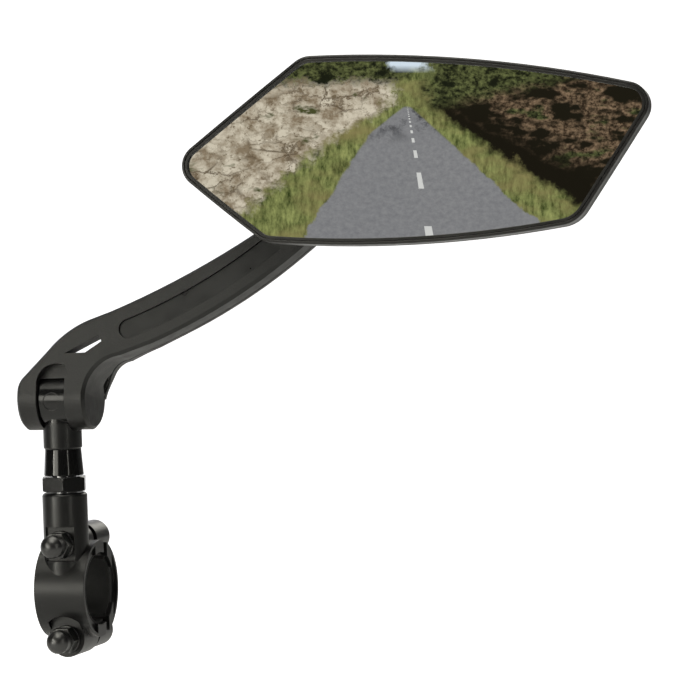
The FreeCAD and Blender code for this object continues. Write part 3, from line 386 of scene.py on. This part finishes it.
def lane_picture():
    """Grey lane, green verges, a pale bank on the left, a dark wooded one on the right, sky above."""
    p = Picture("lane_picture", "card")
    split = p.add("ShaderNodeSeparateXYZ")
    p.link(p.place, "UV", split, "Vector")
    u, v = split.outputs["X"], split.outputs["Y"]
    far_u, far_v = -0.03, 0.40  # where the lane vanishes
    seam_u = far_u - 0.01  # between the left bank and the right one, under the gap of sky
    soft = 0.006  # half the blur of the lane's edges

    # Noises, from broad to fine.
    broad = p.speckle(3.0, 3.0)
    clump = p.speckle(11.0, 7.0, 0.68, (1.0, 0.45))
    leaf = p.speckle(42.0, 6.0, 0.72, (1.0, 0.5))
    blade = p.speckle(38.0, 5.0, 0.7, (1.0, 0.16))
    wobble = p.times(p.minus(clump, 0.5), 0.30)

    # The lane's outline widens from the vanishing point down.
    down = p.minus(far_v, v)
    near = p.calc("MAXIMUM", down, 0.0)
    bend = p.times(p.ramp(near, 0.0, 0.30), 0.075)
    left_edge = p.minus(p.minus(far_u - 0.02, bend), p.times(near, 0.255))
    right_edge = p.plus(far_u, p.times(near, 0.46))
    frayed = p.times(wobble, p.times(near, 0.35))
    past_left = p.minus(u, p.plus(left_edge, frayed))
    past_right = p.minus(p.plus(right_edge, frayed), u)
    lane = p.times(p.ramp(past_left, -soft, soft), p.ramp(past_right, -soft, soft))
    lane = p.times(lane, p.ramp(down, 0.0, 0.02))

    # Tarmac, the shade of trees far off, and the broken centre line.
    tarmac = p.blend(p.ramp(leaf, 0.35, 0.65), (0.20, 0.20, 0.21), (0.27, 0.27, 0.275))
    dapple = p.times(p.ramp(clump, 0.50, 0.60), p.minus(1.0, p.ramp(down, 0.18, 0.42)))
    tarmac = p.blend(dapple, tarmac, (0.055, 0.055, 0.06))
    middle = p.plus(far_u - 0.01, p.times(near, 0.075))
    off_middle = p.calc("ABSOLUTE", p.minus(u, middle))
    line_width = p.plus(p.times(near, 0.011), 0.002)
    line = p.calc("LESS_THAN", off_middle, line_width)
    beat = p.calc("FRACT", p.calc("DIVIDE", 1.9, p.plus(near, 0.10)))
    line = p.times(line, p.calc("LESS_THAN", beat, 0.42))
    tarmac = p.blend(line, tarmac, (0.68, 0.68, 0.66))

    # Grass, cracked rock with bushes, bare earth and woods.
    grass = p.blend(p.ramp(blade, 0.35, 0.68), (0.035, 0.050, 0.012), (0.34, 0.37, 0.13))
    grass = p.blend(p.ramp(broad, 0.45, 0.7), grass, (0.26, 0.22, 0.09))
    rock = p.blend(p.ramp(clump, 0.40, 0.58), (0.26, 0.20, 0.13), (0.68, 0.61, 0.48))
    gaps = p.ramp(p.cells(7.0, wobble, (1.1, 1.0)), 0.07, 0.0)
    rock = p.blend(p.times(gaps, p.ramp(broad, 0.62, 0.42)), rock, (0.10, 0.07, 0.04))
    rock = p.blend(p.ramp(leaf, 0.54, 0.66), rock, (0.16, 0.12, 0.07))
    bushes = p.ramp(p.plus(p.speckle(5.0, 4.0), wobble), 0.60, 0.68)
    rock = p.blend(bushes, rock, (0.07, 0.075, 0.025))
    wood = p.blend(p.ramp(leaf, 0.40, 0.66), (0.010, 0.012, 0.006), (0.17, 0.19, 0.07))
    earth = p.blend(p.ramp(leaf, 0.42, 0.68), (0.030, 0.020, 0.012), (0.34, 0.23, 0.14))
    wood = p.blend(p.ramp(clump, 0.50, 0.60), wood, (0.012, 0.014, 0.007))

    # Left bank: verge, rock, woods on top.
    left_out = p.minus(left_edge, u)
    verge = p.ramp(p.minus(p.plus(left_out, wobble), p.times(near, 0.24)), 0.02, 0.10)
    left_bank = p.blend(verge, grass, rock)
    rise = p.plus(p.minus(v, p.times(u, 0.10)), p.times(wobble, 1.6))
    left_bank = p.blend(p.ramp(rise, 0.62, 0.72), left_bank, wood)

    # Right bank: verge, deep shade, then patches of earth under trees.
    right_out = p.plus(p.minus(u, right_edge), wobble)
    verge = p.ramp(p.minus(right_out, p.times(near, 0.20)), 0.02, 0.10)
    shade = p.minus(right_out, p.times(near, 0.34))
    patch = p.plus(p.speckle(4.5, 3.0), wobble)
    slope = p.blend(p.ramp(patch, 0.44, 0.52), (0.014, 0.012, 0.007), earth)
    slope = p.blend(p.ramp(patch, 0.56, 0.64), slope, wood)
    slope = p.blend(p.ramp(shade, 0.40, 0.12), slope, (0.012, 0.010, 0.006))
    trees = p.minus(p.plus(v, wobble), p.times(u, 0.55))
    slope = p.blend(p.ramp(trees, 0.28, 0.42), slope, wood)
    right_bank = p.blend(verge, grass, slope)
    land = p.blend(p.ramp(u, seam_u, far_u + 0.01), left_bank, right_bank)

    # Sky in the gap between the trees.
    gap = p.plus(p.calc("ABSOLUTE", p.minus(u, seam_u)), p.times(wobble, 0.8))
    sky = p.times(p.minus(1.0, p.ramp(gap, 0.05, 0.09)), p.ramp(v, 0.74, 0.82))
    land = p.blend(sky, land, (0.72, 0.82, 0.92))

    glow = p.add("ShaderNodeEmission")
    p.tree.links.new(p.blend(lane, land, tarmac), glow.inputs["Color"])
    p.link(glow, "Emission", p.output, "Surface")
    return p.material


def lane_card():
    """What the glass looks at: a soft country lane on a card in front of it, seen only by reflection."""
    glass_centre = Vector((0.128, -0.022, 0.142))
    glass_normal = Vector((0.0694, -0.9921, 0.1045))
    card_distance = 2.6
    half_size = (0.34, 0.17)
    picture_half = (0.245, 0.10)  # the part of the card that the glass shows from the camera
    towards_camera = (CAMERA_PLACE - glass_centre).normalized()
    away = (2 * glass_normal.dot(towards_camera) * glass_normal - towards_camera).normalized()
    centre = glass_centre + away * card_distance
    side = Vector((0, 0, 1)).cross(away).normalized()
    rise = away.cross(side).normalized()
    corners = [(-1, -1), (1, -1), (1, 1), (-1, 1)]
    verts = [centre + side * (u * half_size[0]) + rise * (v * half_size[1]) for u, v in corners]
    mesh = bpy.data.meshes.new("lane_card")
    mesh.from_pydata(verts, [], [(0, 1, 2, 3)])
    card = bpy.data.objects.new("lane_card", mesh)
    scene.collection.objects.link(card)
    card.visible_camera = False
    card.visible_diffuse = False
    card.visible_shadow = False
    uv = mesh.uv_layers.new(name="card")
    for loop in mesh.loops:
        u, v = corners[loop.vertex_index]
        uv.data[loop.index].uv = (u * half_size[0] / picture_half[0], v * half_size[1] / picture_half[1])
    mesh.materials.append(lane_picture())


def area_light(name, target, offset, width, height, power):
    """A soft lamp at target + offset that faces target. The camera doesn't see it."""
    data = bpy.data.lights.new(name, "AREA")
    data.shape = "RECTANGLE"
    data.size = width
    data.size_y = height
    data.energy = power
    data.color = LAMP_COLOUR
    lamp = bpy.data.objects.new(name, data)
    scene.collection.objects.link(lamp)
    lamp.visible_camera = False
    place = target + Vector(offset)
    lamp.location = place
    lamp.rotation_mode = "QUATERNION"
    lamp.rotation_quaternion = (target - place).to_track_quat("-Z", "Y")


def lights():
    """Two narrow upright strips on the stem, a long one overhead, soft lamps above and behind, and a key."""
    world = bpy.data.worlds.new("studio")
    scene.world = world
    world.use_nodes = True
    tree = world.node_tree
    sky = tree.nodes["Background"]
    sky.inputs["Color"].default_value = (1.0, 1.0, 1.0, 1.0)
    strength = white_to_camera(tree)
    strength.inputs["A"].default_value = WORLD_STRENGTH
    tree.links.new(strength.outputs["Result"], sky.inputs["Strength"])

    stem = Vector((0.0, -0.0075, 0.04))
    middle = Vector((0.06, 0.0, 0.08))
    area_light("strip_left", stem, (-0.58, -0.69, 0.10), 0.05, 0.8, 2.2)
    area_light("strip_right", stem, (0.72, -0.63, 0.10), 0.03, 0.8, 0.6)
    area_light("strip_top", middle, (0.0, -0.05, 0.9), 1.0, 0.12, 3.0)
    area_light("soft_above", middle, (-0.10, -0.58, 0.93), 0.7, 0.62, 5.6)
    area_light("back_fill", middle, (0.30, 1.60, 0.80), 1.0, 0.8, 6.0)
    area_light("key", middle, (-1.55, -3.0, 0.25), 1.5, 1.2, 22.0)


def camera():
    """At the photograph's angle: position, aim and roll of a long lens."""
    yaw, rise, roll = (math.radians(angle) for angle in (CAMERA_YAW, CAMERA_RISE, CAMERA_ROLL))
    back = Vector((math.sin(yaw) * math.cos(rise), -math.cos(yaw) * math.cos(rise), math.sin(rise)))
    right = Vector((0, 0, 1)).cross(back).normalized()
    up = back.cross(right)
    rolled_right = math.cos(roll) * right + math.sin(roll) * up
    rolled_up = -math.sin(roll) * right + math.cos(roll) * up
    data = bpy.data.cameras.new("camera")
    data.sensor_width = SENSOR_MM
    data.lens = FOCAL_PIXELS / FRAME_PIXELS * SENSOR_MM
    data.clip_end = 50.0
    cam = bpy.data.objects.new("camera", data)
    scene.collection.objects.link(cam)
    turn = Matrix((rolled_right, rolled_up, back)).transposed()
    cam.matrix_world = Matrix.Translation(CAMERA_PLACE) @ turn.to_4x4()
    scene.camera = cam


stage_floor()
lane_card()
lights()
camera()
scene.view_settings.view_transform = "Standard"
scene.view_settings.look = "None"
